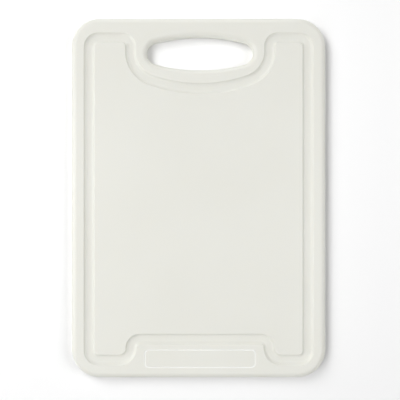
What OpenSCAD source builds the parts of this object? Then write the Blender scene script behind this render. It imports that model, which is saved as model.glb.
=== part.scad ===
// Cutting board moulded in one piece: a slab with full-round edges, an oval
// hand hole near one end and a juice groove that runs just inside the edge.
// The groove dips below the hand hole and rises around a plain panel at the
// opposite end. The board lies flat: +Z is up, +Y points to the hand hole, and
// the origin is the middle of the underside. Lengths are in millimetres.

/* [Board] */
// Width of the board, across the hand hole
board_width = 250; // [246:1:270]
// Length of the board
board_length = 353; // [350:1:400]
// Thickness of the board
board_thickness = 12; // [11:0.5:15]
// Radius of the board's four corners, seen from above
corner_radius = 28; // [20:1:30]
// How far the hand hole, the dip and the panel lie to the right of the middle
middle_shift = 1.5; // [0:0.5:3]

/* [Hand hole] */
// Length of the hand hole at its narrowest level
hole_length = 104; // [90:1:106]
// Radius of the hand hole's two ends
hole_end_radius = 11; // [10:0.5:11.5]
// Half of the angle that each long side of the hand hole turns through
hole_side_turn = 15; // [14:0.1:16.8]
// Radius that rounds the rim of the hand hole on both faces
hole_rim_radius = 5; // [3:0.5:5]
// Distance from the board's end to the middle of the hand hole
hole_from_end = 34.5; // [33.5:0.5:35.5]

/* [Juice groove] */
// Width of the groove's flat floor
groove_floor_width = 3.6; // [3:0.2:4.4]
// Depth of the groove
groove_depth = 2.4; // [1.6:0.1:3.2]
// Radius of the groove's two sides, which meet its flat floor
groove_side_radius = 3.6; // [3.3:0.1:4]
// Distance from the board's sides and its foot to the middle of the groove
groove_inset = 18; // [17:0.5:19]
// The same distance at the end with the hand hole
groove_end_inset = 20; // [19:0.5:21]
// Radius of the groove's middle line at the board's corners
groove_corner_radius = 9; // [8.5:0.5:12]

/* [Groove below the hand hole] */
// Distance from the dip's middle line to each upright stretch
dip_half_width = 68; // [67:0.5:72]
// Distance from the board's end down to the foot of the upright stretches
dip_from_end = 33; // [31.5:0.5:35]
// Radius of the bends at the board's end
dip_bend_radius = 8; // [7:0.5:10]
// Radius of the curves beside the hand hole
dip_side_radius = 30; // [28:1:32]
// Half of the angle that the long curve below the hand hole turns through
dip_low_turn = 19.3; // [18.5:0.1:22]

/* [Panel] */
// Distance from the panel's middle line to the middle of each rise
panel_half_width = 67.5; // [62:0.5:72]
// Radius of the quarter turns at the foot of each rise
panel_foot_radius = 12; // [9:0.5:14]
// Radius of the quarter turns at the top of each rise
panel_top_radius = 8.5; // [7:0.5:10]
// Length of the outline engraved on the panel
outline_length = 108; // [80:1:110]
// Height of the outline engraved on the panel
outline_height = 17; // [12:1:17]
// Radius of the outline's corners
outline_radius = 4; // [2:0.5:5]
// Width of the engraved line
outline_line = 1.2; // [0.8:0.1:1.6]
// Depth of the engraved line
outline_depth = 0.4; // [0.2:0.1:0.6]

/* [Hidden] */
$fn = 96;
// How far a cutter stands clear of the surface that it cuts
clearance = 0.2;

half_width = board_width / 2;
half_length = board_length / 2;
edge_radius = board_thickness / 2;

// The hand hole is an oval of two end arcs and two long side arcs
hole_y = half_length - hole_from_end;
end_arc_x = hole_length / 2 - hole_end_radius;
side_arc_radius = hole_end_radius + end_arc_x / sin(hole_side_turn);
side_arc_y = end_arc_x / tan(hole_side_turn);
hole_half_width = side_arc_radius - side_arc_y;

// The groove's middle line is a rectangle with the dip in one end and the rise
// around the panel in the other
groove_floor_x = groove_floor_width / 2;
groove_rise = groove_side_radius - groove_depth;
groove_half_width = groove_floor_x + sqrt(groove_side_radius ^ 2 - groove_rise ^ 2);
groove_x = half_width - groove_inset;
groove_end_y = half_length - groove_end_inset;
groove_foot_y = groove_inset - half_length;
groove_turn_x = groove_x - groove_corner_radius;
end_turn_y = groove_end_y - groove_corner_radius;
foot_turn_y = groove_foot_y + groove_corner_radius;

dip_turn_x = dip_half_width + dip_bend_radius;
dip_turn_y = groove_end_y - dip_bend_radius;
dip_side_x = dip_half_width - dip_side_radius;
dip_side_y = half_length - dip_from_end;
dip_low_radius = dip_side_radius + dip_side_x / sin(dip_low_turn);
dip_low_y = dip_side_y + dip_side_x / tan(dip_low_turn);

panel_foot_y = groove_foot_y + panel_foot_radius;

// The outline lies midway between the groove and the board's round edge
outline_y = (panel_foot_y + panel_top_radius - groove_half_width
    + edge_radius - half_length) / 2;

// Moves by a rounded step and then by what is left of it, which keeps every
// digit and so lets neighbouring sweeps meet exactly
module shift(by) {
    rounded = [for (value = by) round(1000 * value) / 1000];
    translate(rounded) translate(by - rounded) children();
}

// Sweeps a section along the surface, straight from a point
module run(from, direction, distance) {
    translate([from.x, from.y, board_thickness])
        rotate([90, 0, direction + 90])
            linear_extrude(distance) children();
}

// Sweeps a section along the surface, round an arc of the radius given
module bend(centre, radius, start, turn) {
    shift([centre.x, centre.y, board_thickness])
        rotate_extrude(angle = turn, start = start)
            shift([radius, 0, 0]) children();
}

// Half of a full circle, with its flat side at x = 0
module edge_section() {
    intersection() {
        circle(r = edge_radius);
        translate([0, -edge_radius]) square([edge_radius, board_thickness]);
    }
}

module slab() {
    flat_x = half_width - edge_radius;
    flat_y = half_length - edge_radius;
    corner_x = half_width - corner_radius;
    corner_y = half_length - corner_radius;
    turn_radius = corner_radius - edge_radius;
    translate([-flat_x, -corner_y, 0])
        cube([2 * flat_x, 2 * corner_y, board_thickness]);
    for (end = [0, 1]) mirror([0, end, 0]) {
        translate([-corner_x, corner_y, 0])
            cube([2 * corner_x, flat_y - corner_y, board_thickness]);
        translate([-corner_x, flat_y, edge_radius]) rotate([90, 0, 90])
            linear_extrude(2 * corner_x) edge_section();
    }
    for (side = [0, 1]) mirror([side, 0, 0]) {
        translate([flat_x, corner_y, edge_radius]) rotate([90, 0, 0])
            linear_extrude(2 * corner_y) edge_section();
        for (end = [0, 1]) mirror([0, end, 0])
            translate([corner_x, corner_y, edge_radius])
                rotate_extrude(angle = 90) {
                    translate([0, -edge_radius])
                        square([turn_radius, board_thickness]);
                    translate([turn_radius, 0]) edge_section();
                }
    }
}

// Section of the hand hole beside its wall, which is at x = 0 at its narrowest
// level and flares out to both faces. It reaches inward by the depth given.
module hole_section(depth) {
    difference() {
        translate([-depth, 0])
            square([depth + hole_rim_radius, board_thickness]);
        translate([0, hole_rim_radius])
            square([hole_rim_radius, board_thickness - 2 * hole_rim_radius]);
        for (rim_z = [hole_rim_radius, board_thickness - hole_rim_radius])
            translate([hole_rim_radius, rim_z]) circle(r = hole_rim_radius);
    }
}

module hand_hole() {
    middle_half_width = hole_half_width / 2;
    translate([middle_shift, hole_y, 0]) {
        translate([-end_arc_x, -middle_half_width, -clearance])
            cube([2 * end_arc_x, 2 * middle_half_width, board_thickness + 2 * clearance]);
        for (side = [0, 1]) mirror([side, 0, 0])
            translate([end_arc_x, 0, 0])
                rotate_extrude(angle = 180 - 2 * hole_side_turn, start = hole_side_turn - 90)
                    translate([hole_end_radius, 0]) hole_section(hole_end_radius);
        for (side = [0, 1]) mirror([0, side, 0])
            shift([0, -side_arc_y, 0])
                rotate_extrude(angle = 2 * hole_side_turn, start = 90 - hole_side_turn)
                    shift([side_arc_radius, 0, 0]) hole_section(hole_end_radius);
    }
}

module groove_section() {
    intersection() {
        union() {
            translate([-groove_floor_x, -groove_depth])
                square([2 * groove_floor_x, groove_depth + clearance]);
            for (side = [-1, 1])
                translate([side * groove_floor_x, groove_rise])
                    circle(r = groove_side_radius);
        }
        translate([-2 * groove_side_radius, -2 * groove_side_radius])
            square([4 * groove_side_radius, 2 * groove_side_radius + clearance]);
    }
}

// The groove's right half, with its dip and its rise moved to the right by the
// step given
module groove_half(step) {
    turn_x = dip_turn_x + step;
    rise_x = panel_half_width + step;
    foot_x = rise_x + panel_foot_radius;
    top_x = rise_x - panel_top_radius;
    bend([step, dip_low_y], dip_low_radius, -90, dip_low_turn)
        groove_section();
    bend([dip_side_x + step, dip_side_y], dip_side_radius, dip_low_turn - 90, 90 - dip_low_turn)
        groove_section();
    run([dip_half_width + step, dip_side_y], 90, dip_turn_y - dip_side_y)
        groove_section();
    bend([turn_x, dip_turn_y], dip_bend_radius, 90, 90)
        groove_section();
    run([turn_x, groove_end_y], 0, groove_turn_x - turn_x)
        groove_section();
    bend([groove_turn_x, end_turn_y], groove_corner_radius, 0, 90)
        groove_section();
    run([groove_x, end_turn_y], -90, end_turn_y - foot_turn_y)
        groove_section();
    bend([groove_turn_x, foot_turn_y], groove_corner_radius, -90, 90)
        groove_section();
    run([groove_turn_x, groove_foot_y], 180, groove_turn_x - foot_x)
        groove_section();
    bend([foot_x, panel_foot_y], panel_foot_radius, 180, 90)
        groove_section();
    bend([top_x, panel_foot_y], panel_top_radius, 0, 90)
        groove_section();
    run([top_x, panel_foot_y + panel_top_radius], 180, top_x)
        groove_section();
}

module juice_groove() {
    groove_half(middle_shift);
    mirror([1, 0, 0]) groove_half(-middle_shift);
}

module line_section() {
    translate([-outline_line / 2, -outline_depth])
        square([outline_line, outline_depth + clearance]);
}

module panel_outline() {
    line_x = outline_length / 2;
    line_y = outline_height / 2;
    turn_x = line_x - outline_radius;
    turn_y = line_y - outline_radius;
    translate([middle_shift, outline_y, 0]) {
        for (end = [0, 1]) mirror([0, end, 0])
            run([-turn_x, line_y], 0, 2 * turn_x) line_section();
        for (side = [0, 1]) mirror([side, 0, 0]) {
            run([line_x, -turn_y], 90, 2 * turn_y) line_section();
            for (end = [0, 1]) mirror([0, end, 0])
                bend([turn_x, turn_y], outline_radius, 0, 90) line_section();
        }
    }
}

module board() {
    color("ivory") difference() {
        slab();
        hand_hole();
        juice_groove();
        panel_outline();
    }
}

board();
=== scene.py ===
"""Looks of a cutting board moulded in one piece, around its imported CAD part.

One mesh stands for the CAD board. Its rounded edge, hand hole, juice groove,
engraved outline and moulding marks are sections swept along closed paths, and
flat faces join them. Lengths are in metres, in the CAD frame.
"""

from math import atan2, ceil, cos, pi, radians, sin, sqrt, tan

import bmesh
import bpy
import numpy as np
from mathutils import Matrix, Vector
from mathutils.geometry import delaunay_2d_cdt


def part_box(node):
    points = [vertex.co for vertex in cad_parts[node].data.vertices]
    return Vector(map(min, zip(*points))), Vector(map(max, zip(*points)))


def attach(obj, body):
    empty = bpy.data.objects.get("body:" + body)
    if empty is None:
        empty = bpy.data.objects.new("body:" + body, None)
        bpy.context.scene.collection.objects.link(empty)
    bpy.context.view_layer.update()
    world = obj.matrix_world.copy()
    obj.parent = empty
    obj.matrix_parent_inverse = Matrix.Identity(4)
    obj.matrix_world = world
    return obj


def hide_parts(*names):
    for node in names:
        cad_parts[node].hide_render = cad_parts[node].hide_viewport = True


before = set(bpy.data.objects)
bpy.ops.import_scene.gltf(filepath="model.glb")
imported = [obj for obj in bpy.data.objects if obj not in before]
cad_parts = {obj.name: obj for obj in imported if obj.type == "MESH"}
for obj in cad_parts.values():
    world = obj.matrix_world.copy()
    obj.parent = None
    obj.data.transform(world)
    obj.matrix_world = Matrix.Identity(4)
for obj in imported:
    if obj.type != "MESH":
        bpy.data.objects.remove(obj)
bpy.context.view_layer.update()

MM = 0.001

# The board's box comes from the CAD part; the other lengths repeat its design
low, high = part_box("board")
WIDTH, LENGTH, THICKNESS = high - low
EDGE = THICKNESS / 2
CORNER = 28 * MM

# The middle line that the hand hole, the groove's dip and the panel share
MIDDLE_X = 1.5 * MM

# Hand hole: two end arcs and two long side arcs, with rounded rims
HOLE_Y = LENGTH / 2 - 34.5 * MM
HOLE_END_X = 41 * MM
HOLE_END_RADIUS = 11 * MM
HOLE_SIDE_TURN = 15.0
HOLE_RIM = 5 * MM

# Juice groove: its section, its middle line, and its dip below the hand hole
GROOVE_FLOOR_X = 1.8 * MM
GROOVE_DEPTH = 2.4 * MM
GROOVE_SIDE_RADIUS = 3.6 * MM
GROOVE_LIP = 0.8 * MM
GROOVE_X = WIDTH / 2 - 18 * MM
GROOVE_END_Y = LENGTH / 2 - 20 * MM
GROOVE_FOOT_Y = 18 * MM - LENGTH / 2
GROOVE_CORNER = 9 * MM
DIP_X = 68 * MM
DIP_BEND = 8 * MM
DIP_SIDE_Y = LENGTH / 2 - 33 * MM
DIP_SIDE_RADIUS = 30 * MM
DIP_LOW_TURN = 19.3

# Panel, and the outline engraved on it
PANEL_HALF_WIDTH = 67.5 * MM
PANEL_FOOT = 12 * MM
PANEL_TOP = 8.5 * MM
OUTLINE_X = 54 * MM
OUTLINE_Y = 8.5 * MM
OUTLINE_CORNER = 4 * MM
OUTLINE_HALF_WIDTH = 0.75 * MM
OUTLINE_DEPTH = 0.4 * MM

# Mesh spacing on straight runs, in bends by length and by degrees, and on flat
# faces, with the share of a step that their inner points keep from the edges
RUN_STEP = 4 * MM
BEND_STEP = 1.3 * MM
BEND_ANGLE = 6.0
FILL_STEP = 7 * MM
FILL_CLEAR = 0.55

# Faces across each part of a section
EDGE_COUNT = 26
RIM_COUNT = 12
LIP_COUNT = 8
SIDE_COUNT = 10
LINE_COUNT = 10
MARK_COUNT = 6
STUB_COUNT = 5


def ahead(angle):
    return np.array([cos(angle), sin(angle)])


def left(angle):
    return np.array([-sin(angle), cos(angle)])


def run(length):
    return ("run", length)


def bend(radius, turn):
    """A bend of that radius; the turn is in degrees, and positive to the left."""
    return ("bend", radius, turn)


def walk(start, heading, steps):
    """The points of a closed path and, at each, the direction to its left."""
    at = np.array(start, float)
    angle = radians(heading)
    points = []
    sides = []
    for kind, size, *more in steps:
        if kind == "run":
            count = max(1, ceil(size / RUN_STEP))
            for i in range(count):
                points.append(at + ahead(angle) * size * i / count)
                sides.append(left(angle))
            at = at + ahead(angle) * size
            continue
        turn = radians(more[0])
        reach = size if turn > 0 else -size
        centre = at + left(angle) * reach
        by_angle = abs(turn) / radians(BEND_ANGLE)
        by_length = abs(turn) * size / BEND_STEP
        count = ceil(max(by_angle, by_length))
        for i in range(count):
            here = angle + turn * i / count
            points.append(centre - left(here) * reach)
            sides.append(left(here))
        angle += turn
        at = centre - left(angle) * reach
    return np.array(points), np.array(sides)


def arc(centre, radius, start, end, count, inward=False):
    """Rows of a section: offset, height and the normal's two parts, along an arc."""
    rows = []
    for i in range(count + 1):
        angle = radians(start + (end - start) * i / count)
        facing = -1 if inward else 1
        rows.append(
            (
                centre[0] + radius * cos(angle),
                centre[1] + radius * sin(angle),
                facing * cos(angle),
                facing * sin(angle),
            )
        )
    return rows


# Kinds of face, which are the places of their materials on the mesh
BOARD_KIND = 0
LINE_KIND = 1


class Surface:
    """Vertices with their exact normals, a wear value and faces, built up in parts."""

    def __init__(self):
        self.points = []
        self.normals = []
        self.worn = []
        self.faces = []
        self.kinds = []

    def add(self, point, normal, worn=0.0):
        self.points.append(tuple(float(x) for x in point))
        self.normals.append(tuple(float(x) for x in normal))
        self.worn.append(float(worn))
        return len(self.points) - 1

    def sweep(self, path, section, kind=BOARD_KIND, worn=None):
        """Sweeps a section along a closed path. Returns its first and last loop."""
        points, sides = path
        loops = []
        for number, (offset, height, across, up) in enumerate(section):
            wear = 0.0 if worn is None else worn[number]
            loops.append(
                [
                    self.add((*(p + s * offset), height), (*(s * across), up), wear)
                    for p, s in zip(points, sides)
                ]
            )
        for one, two in zip(loops, loops[1:]):
            for i in range(len(one)):
                j = (i + 1) % len(one)
                self.faces.append((one[i], one[j], two[j], two[i]))
                self.kinds.append(kind)
        return loops[0], loops[-1]

    def fill(self, loops, height, up):
        """Fills the flat region inside the first loop and outside the others."""
        index = [v for loop in loops for v in loop]
        flat = np.array([self.points[v][:2] for v in index])
        edges = []
        start = 0
        for loop in loops:
            size = len(loop)
            edges += [(start + i, start + (i + 1) % size) for i in range(size)]
            start += size
        starts = flat[[e[0] for e in edges]]
        ends = flat[[e[1] for e in edges]]
        inner = grid_inside(starts, ends)
        for x, y in inner:
            index.append(self.add((x, y, height), (0, 0, up)))
        every = np.array([*flat, *inner])
        found = delaunay_2d_cdt([Vector(p) for p in every], edges, [], 1, 1e-9)
        source = np.array([olds[0] for olds in found[3]])
        corners = source[np.array(found[2])]
        middles = every[corners].mean(1)
        for face in corners[inside(middles, starts, ends)]:
            self.faces.append(tuple(index[v] for v in face))
            self.kinds.append(BOARD_KIND)


def inside(places, starts, ends):
    """Which places an odd number of loops surround, by the loops' edges."""
    odd = np.zeros(len(places), bool)
    for (ax, ay), (bx, by) in zip(starts, ends):
        if ay != by:
            spans = (ay > places[:, 1]) != (by > places[:, 1])
            reach = ax + (places[:, 1] - ay) * (bx - ax) / (by - ay)
            odd ^= spans & (places[:, 0] < reach)
    return odd


def grid_inside(starts, ends):
    """Points of a staggered grid in the region, clear of its edges."""
    row_step = FILL_STEP * sqrt(3) / 2
    bottom, top = starts.min(0), starts.max(0)
    places = []
    for row in range(int((top[1] - bottom[1]) / row_step) + 1):
        shift = FILL_STEP / 2 if row % 2 else 0.0
        for column in range(int((top[0] - bottom[0]) / FILL_STEP) + 1):
            places.append(
                (bottom[0] + shift + column * FILL_STEP, bottom[1] + row * row_step)
            )
    places = np.array(places)
    places = places[inside(places, starts, ends)]
    if not len(places):
        return []
    clear = np.full(len(places), np.inf)
    for p in np.concatenate([starts, (starts + ends) / 2]):
        clear = np.minimum(clear, np.hypot(*(places - p).T))
    return [tuple(p) for p in places[clear > FILL_CLEAR * FILL_STEP]]


surface = Surface()

# Outer edge, a full half circle from the top face to the underside
corner_x = WIDTH / 2 - CORNER
corner_y = LENGTH / 2 - CORNER
side = run(2 * corner_y)
end = run(2 * corner_x)
turn = bend(CORNER, 90)
outline_path = walk((WIDTH / 2, -corner_y), 90, [side, turn, end, turn] * 2)
edge_rows = arc((EDGE, EDGE), EDGE, 90, 270, EDGE_COUNT)
edge_worn = [sin(pi * i / EDGE_COUNT) for i in range(EDGE_COUNT + 1)]
top_edge, low_edge = surface.sweep(outline_path, edge_rows, worn=edge_worn)

# Hand hole, clockwise from its right end, so that the board is on the left
side_reach = HOLE_END_X / sin(radians(HOLE_SIDE_TURN))
side_radius = HOLE_END_RADIUS + side_reach
end_turn = bend(HOLE_END_RADIUS, -(90 - HOLE_SIDE_TURN))
long_turn = bend(side_radius, -2 * HOLE_SIDE_TURN)
hole_path = walk(
    (MIDDLE_X + HOLE_END_X + HOLE_END_RADIUS, HOLE_Y),
    -90,
    [end_turn, long_turn, end_turn, end_turn, long_turn, end_turn],
)
hole_rows = arc((HOLE_RIM, THICKNESS - HOLE_RIM), HOLE_RIM, 90, 180, RIM_COUNT)
hole_rows += arc((HOLE_RIM, HOLE_RIM), HOLE_RIM, 180, 270, RIM_COUNT)
hole_last = len(hole_rows) - 1
hole_worn = [sin(pi * i / hole_last) for i in range(hole_last + 1)]
top_hole, low_hole = surface.sweep(hole_path, hole_rows, worn=hole_worn)

# Juice groove, clockwise from the lowest point of its dip, rim on the left
dip_side_x = DIP_X - DIP_SIDE_RADIUS
low_radius = DIP_SIDE_RADIUS + dip_side_x / sin(radians(DIP_LOW_TURN))
dip_low_y = DIP_SIDE_Y + dip_side_x / tan(radians(DIP_LOW_TURN)) - low_radius
turn_x = GROOVE_X - GROOVE_CORNER


def dip_half(step):
    """From the dip's lowest point to the right corner, or to the left with -step."""
    return [
        bend(low_radius, DIP_LOW_TURN),
        bend(DIP_SIDE_RADIUS, 90 - DIP_LOW_TURN),
        run(GROOVE_END_Y - DIP_BEND - DIP_SIDE_Y),
        bend(DIP_BEND, -90),
        run(turn_x - DIP_X - DIP_BEND - step),
    ]


def rise_half(step):
    """From the right corner to the panel's top, or from the left with -step."""
    return [
        run(turn_x - PANEL_HALF_WIDTH - step - PANEL_FOOT),
        bend(PANEL_FOOT, -90),
        bend(PANEL_TOP, 90),
    ]


corner = bend(GROOVE_CORNER, -90)
long_run = run(GROOVE_END_Y - GROOVE_FOOT_Y - 2 * GROOVE_CORNER)
groove_path = walk(
    (MIDDLE_X, dip_low_y),
    0,
    [
        *dip_half(MIDDLE_X),
        corner,
        long_run,
        corner,
        *rise_half(MIDDLE_X),
        run(2 * (PANEL_HALF_WIDTH - PANEL_TOP)),
        *reversed(rise_half(-MIDDLE_X)),
        corner,
        long_run,
        corner,
        *reversed(dip_half(-MIDDLE_X)),
    ],
)
side_rise = GROOVE_SIDE_RADIUS - GROOVE_DEPTH
lip_reach = sqrt((GROOVE_SIDE_RADIUS + GROOVE_LIP) ** 2 - (side_rise + GROOVE_LIP) ** 2)
lip_angle = atan2(lip_reach, side_rise + GROOVE_LIP) * 180 / pi
lip_x = GROOVE_FLOOR_X + lip_reach
lip_z = THICKNESS - GROOVE_LIP
side_z = THICKNESS + side_rise
groove_rows = arc((lip_x, lip_z), GROOVE_LIP, 90, 90 + lip_angle, LIP_COUNT)
groove_rows += arc(
    (GROOVE_FLOOR_X, side_z), GROOVE_SIDE_RADIUS, lip_angle - 90, -90, SIDE_COUNT, True
)[1:]
groove_rows += arc(
    (-GROOVE_FLOOR_X, side_z), GROOVE_SIDE_RADIUS, -90, -90 - lip_angle, SIDE_COUNT, True
)[:-1]
groove_rows += arc((-lip_x, lip_z), GROOVE_LIP, 90 - lip_angle, 90, LIP_COUNT)
groove_worn = [1 - abs(2 * i / LIP_COUNT - 1) for i in range(LIP_COUNT + 1)]
groove_worn = [*groove_worn, *[-1.0] * (2 * SIDE_COUNT), *groove_worn]
rim_groove, top_groove = surface.sweep(groove_path, groove_rows, worn=groove_worn)

# Outline engraved on the panel, a shallow line with soft sides
groove_half_width = GROOVE_FLOOR_X + sqrt(GROOVE_SIDE_RADIUS**2 - side_rise**2)
groove_edge = GROOVE_FOOT_Y + PANEL_FOOT + PANEL_TOP - groove_half_width
outline_middle = (groove_edge + EDGE - LENGTH / 2) / 2
line_x = OUTLINE_X - OUTLINE_CORNER
line_y = OUTLINE_Y - OUTLINE_CORNER
small_turn = bend(OUTLINE_CORNER, 90)
line_path = walk(
    (MIDDLE_X + OUTLINE_X, outline_middle - line_y),
    90,
    [run(2 * line_y), small_turn, run(2 * line_x), small_turn] * 2,
)


def soft_step(half_width, depth, count, full, surface_z, up):
    """Rows of a cosine-shaped dent, or with full False of only its first half.

    The surface faces up with up = 1, and down with up = -1.
    """
    rows = []
    for i in range(count + 1):
        share = i / count * (1 if full else 0.5)
        offset = half_width * (2 * share - 1)
        fall = depth * (1 - cos(2 * pi * share)) / 2
        slope = depth * pi / (2 * half_width) * sin(2 * pi * share)
        size = sqrt(1 + slope**2)
        rows.append((offset, surface_z - up * fall, slope / size, up / size))
    return rows


line_rows = soft_step(
    OUTLINE_HALF_WIDTH, OUTLINE_DEPTH, LINE_COUNT, True, THICKNESS, 1
)
line_outer, line_inner = surface.sweep(line_path, line_rows, kind=LINE_KIND)

# Moulding marks on the underside: pin marks, and the gate's dimple with its stub
PIN_X = 85 * MM
PIN_Y = 130 * MM
PIN_RADIUS = 4 * MM
PIN_DEPTH = 0.12 * MM
GATE_RADIUS = 6 * MM
GATE_DEPTH = 0.5 * MM
MARK_SIDE = 0.5 * MM
STUB_RADIUS = 1.2 * MM
STUB_SIDE = 0.3 * MM
STUB_HEIGHT = 0.35 * MM


def ring(x, y, radius):
    """A circle round a point, with its inside on the left."""
    return walk((x, y - radius), 0, [bend(radius, 360)])


marks = []
for y in (-PIN_Y, 0, PIN_Y):
    for x in (-PIN_X, PIN_X):
        rows = soft_step(MARK_SIDE, PIN_DEPTH, MARK_COUNT, False, 0.0, -1)
        outer, inner = surface.sweep(ring(x, y, PIN_RADIUS), rows)
        marks.append(outer)
        surface.fill([inner], PIN_DEPTH, -1)
rows = soft_step(MARK_SIDE, GATE_DEPTH, MARK_COUNT, False, 0.0, -1)
outer, inner = surface.sweep(ring(0, 0, GATE_RADIUS), rows)
marks.append(outer)
stub_rows = [
    (offset, height, -across, -up)
    for offset, height, across, up in soft_step(
        STUB_SIDE, STUB_HEIGHT, STUB_COUNT, False, GATE_DEPTH, 1
    )
]
stub_outer, stub_inner = surface.sweep(ring(0, 0, STUB_RADIUS), stub_rows)
surface.fill([inner, stub_outer], GATE_DEPTH, -1)
surface.fill([stub_inner], GATE_DEPTH - STUB_HEIGHT, -1)

# Flat faces
surface.fill([top_groove], THICKNESS, 1)
surface.fill([top_edge, rim_groove, top_hole, line_outer], THICKNESS, 1)
surface.fill([line_inner], THICKNESS, 1)
surface.fill([low_edge, low_hole, *marks], 0.0, -1)


def build(surface, name):
    """The surface as an object with smooth faces, its exact normals and its wear."""
    mesh = bpy.data.meshes.new(name)
    mesh.from_pydata(surface.points, [], surface.faces)
    mesh.polygons.foreach_set("material_index", surface.kinds)
    worn = mesh.attributes.new("worn", "FLOAT", "POINT")
    worn.data.foreach_set("value", surface.worn)
    shape = bmesh.new()
    shape.from_mesh(mesh)
    bmesh.ops.recalc_face_normals(shape, faces=shape.faces)
    shape.to_mesh(mesh)
    shape.free()
    mesh.polygons.foreach_set("use_smooth", [True] * len(mesh.polygons))
    mesh.normals_split_custom_set_from_vertices(surface.normals)
    made = bpy.data.objects.new(name, mesh)
    bpy.context.scene.collection.objects.link(made)
    return made


class Nodes:
    """Short calls for a material's nodes."""

    def __init__(self, name):
        self.material = bpy.data.materials.new(name)
        self.material.use_nodes = True
        self.tree = self.material.node_tree
        self.shader = self.tree.nodes["Principled BSDF"]
        place = self.tree.nodes.new("ShaderNodeTexCoord")
        self.place = place.outputs["Object"]

    def link(self, value, socket):
        if isinstance(value, bpy.types.NodeSocket):
            self.tree.links.new(value, socket)
        else:
            socket.default_value = value

    def noise(self, size, detail=2.0, roughness=0.5):
        """Noise from 0 to 1 whose blotches are about that size, in metres."""
        node = self.tree.nodes.new("ShaderNodeTexNoise")
        self.link(self.place, node.inputs["Vector"])
        self.link(1 / size, node.inputs["Scale"])
        self.link(detail, node.inputs["Detail"])
        self.link(roughness, node.inputs["Roughness"])
        return node.outputs["Fac"]

    def attribute(self, name):
        node = self.tree.nodes.new("ShaderNodeAttribute")
        node.attribute_name = name
        return node.outputs["Fac"]

    def ranged(self, value, low_in, high_in, low_out, high_out):
        node = self.tree.nodes.new("ShaderNodeMapRange")
        for socket, number in zip(node.inputs, (value, low_in, high_in, low_out, high_out)):
            self.link(number, socket)
        return node.outputs["Result"]

    def maths(self, operation, one, two):
        node = self.tree.nodes.new("ShaderNodeMath")
        node.operation = operation
        self.link(one, node.inputs[0])
        self.link(two, node.inputs[1])
        return node.outputs["Value"]

    def mix(self, factor, one, two):
        node = self.tree.nodes.new("ShaderNodeMix")
        node.data_type = "RGBA"
        self.link(factor, node.inputs["Factor"])
        self.link(one, node.inputs["A"])
        self.link(two, node.inputs["B"])
        return node.outputs["Result"]

    def bump(self, height, distance, strength, normal=None):
        node = self.tree.nodes.new("ShaderNodeBump")
        self.link(height, node.inputs["Height"])
        self.link(distance, node.inputs["Distance"])
        self.link(strength, node.inputs["Strength"])
        if normal is not None:
            self.link(normal, node.inputs["Normal"])
        return node.outputs["Normal"]


# The plastic's patterns: sizes of their blotches, and heights of the bumps
DRIFT_SIZE = 90 * MM
PATCH_SIZE = 12 * MM
SPECKLE_SIZE = 1.1 * MM
WAVE_SIZE = 20 * MM
WAVE_HEIGHT = 0.06 * MM
GRAIN_SIZE = 0.8 * MM
GRAIN_HEIGHT = 0.018 * MM

# Each material's two tones
BOARD_TONES = ((0.745, 0.742, 0.685, 1), (0.765, 0.764, 0.712, 1))
LINE_TONES = ((0.83, 0.83, 0.80, 1), (0.86, 0.86, 0.83, 1))
FLOOR_TONE = (0.9, 0.9, 0.9, 1)


def plastic(name, tone, other_tone):
    """Off-white polyethylene with a fine moulded grain, a little translucent."""
    nodes = Nodes(name)
    shader = nodes.shader
    drift = nodes.ranged(nodes.noise(DRIFT_SIZE, 1.0), 0.3, 0.7, 0, 1)
    speckle = nodes.ranged(nodes.noise(SPECKLE_SIZE, 3.0, 0.6), 0.25, 0.75, 0, 0.4)
    share = nodes.maths("ADD", nodes.maths("MULTIPLY", drift, 0.6), speckle)
    nodes.link(nodes.mix(share, tone, other_tone), shader.inputs["Base Color"])
    rough = nodes.ranged(nodes.noise(PATCH_SIZE, 4.0, 0.6), 0.3, 0.7, 0.44, 0.52)
    polish = nodes.ranged(nodes.attribute("worn"), -1.0, 1.0, 0.04, -0.06)
    nodes.link(nodes.maths("ADD", rough, polish), shader.inputs["Roughness"])
    waves = nodes.bump(nodes.noise(WAVE_SIZE, 2.0), WAVE_HEIGHT, 0.6)
    grain = nodes.bump(nodes.noise(GRAIN_SIZE, 2.0, 0.55), GRAIN_HEIGHT, 0.7, waves)
    nodes.link(grain, shader.inputs["Normal"])
    shader.inputs["IOR"].default_value = 1.5
    shader.inputs["Subsurface Weight"].default_value = 0.2
    shader.inputs["Subsurface Radius"].default_value = (1.0, 0.92, 0.78)
    shader.inputs["Subsurface Scale"].default_value = 0.003
    return nodes.material


board = build(surface, "moulded_board")
board.data.materials.append(plastic("board_plastic", *BOARD_TONES))
board.data.materials.append(plastic("outline_plastic", *LINE_TONES))
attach(board, "root")
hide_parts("board")

# Floor, a square sheet just below the board; beyond it is the white world
FLOOR_REACH = 0.5
FLOOR_GAP = 0.05 * MM
floor_mesh = bpy.data.meshes.new("floor")
corners = [(-1, -1), (1, -1), (1, 1), (-1, 1)]
floor_mesh.from_pydata(
    [(x * FLOOR_REACH, y * FLOOR_REACH, -FLOOR_GAP) for x, y in corners],
    [],
    [(0, 1, 2, 3)],
)
floor = bpy.data.objects.new("floor", floor_mesh)
bpy.context.scene.collection.objects.link(floor)
paper = Nodes("floor_paper")
paper.shader.inputs["Base Color"].default_value = FLOOR_TONE
paper.shader.inputs["Roughness"].default_value = 0.9
paper.shader.inputs["Specular IOR Level"].default_value = 0.0
floor_mesh.materials.append(paper.material)

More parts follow.
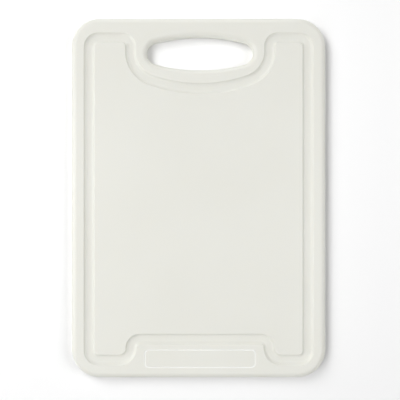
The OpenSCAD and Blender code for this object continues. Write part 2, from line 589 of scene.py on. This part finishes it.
# Camera straight above; the frame is as wide as the field, at the top face
CAMERA_HEIGHT = 0.6
CAMERA_X = 1.4 * MM
CAMERA_Y = -1.9 * MM
FIELD = 0.3908
SENSOR = 36
camera_data = bpy.data.cameras.new("camera")
camera_data.sensor_width = SENSOR
camera_data.lens = SENSOR * CAMERA_HEIGHT / FIELD
camera = bpy.data.objects.new("camera", camera_data)
camera.location = (CAMERA_X, CAMERA_Y, THICKNESS + CAMERA_HEIGHT)
bpy.context.scene.collection.objects.link(camera)
bpy.context.scene.camera = camera

# Lamps: azimuth and elevation in degrees, and watts. The board and the floor have
# their own lamps, so that the shading of each can be set without the other's.
# These directions and strengths weren't chosen by hand: a separate program fitted
# them to the photograph's brightness by least squares.
LAMP_DISTANCE = 1.5
LAMP_SIZE = 0.8
BOARD_LAMPS = (
    (0, 20, 1.8),
    (0, 60, 9.1),
    (90, 20, 9.0),
    (180, 20, 11.3),
    (180, 60, 8.2),
    (270, 40, 5.3),
)
FLOOR_LAMPS = (
    (0, 40, 11.5),
    (135, 40, 14.3),
    (180, 60, 8.6),
    (225, 40, 4.6),
)


def lit_group(name, piece):
    """A collection that holds the piece, for the lamps that light only that piece."""
    group = bpy.data.collections.new(name)
    group.objects.link(piece)
    return group


def softbox(group, azimuth, elevation, strength):
    """A square lamp that lights the group's piece only; azimuth 0 is +X."""
    data = bpy.data.lights.new(f"{group.name}_{azimuth}_{elevation}", "AREA")
    data.shape = "SQUARE"
    data.size = LAMP_SIZE
    data.energy = strength
    lamp = bpy.data.objects.new(data.name, data)
    flat = LAMP_DISTANCE * cos(radians(elevation))
    rise = LAMP_DISTANCE * sin(radians(elevation))
    lamp.location = (*(flat * ahead(radians(azimuth))), rise)
    lamp.rotation_euler = (-lamp.location).to_track_quat("-Z", "Y").to_euler()
    bpy.context.scene.collection.objects.link(lamp)
    lamp.light_linking.receiver_collection = group


for name, piece, lamps in (
    ("board_light", board, BOARD_LAMPS),
    ("floor_light", floor, FLOOR_LAMPS),
):
    group = lit_group(name, piece)
    for azimuth, elevation, strength in lamps:
        softbox(group, azimuth, elevation, strength)

world = bpy.data.worlds.new("studio")
world.use_nodes = True
world.node_tree.nodes["Background"].inputs["Color"].default_value = (1, 1, 1, 1)
bpy.context.scene.world = world
# The world is the white behind the floor, and it lights nothing
for ray in ("diffuse", "glossy", "transmission", "scatter"):
    setattr(world.cycles_visibility, ray, False)
bpy.context.scene.view_settings.view_transform = "Standard"
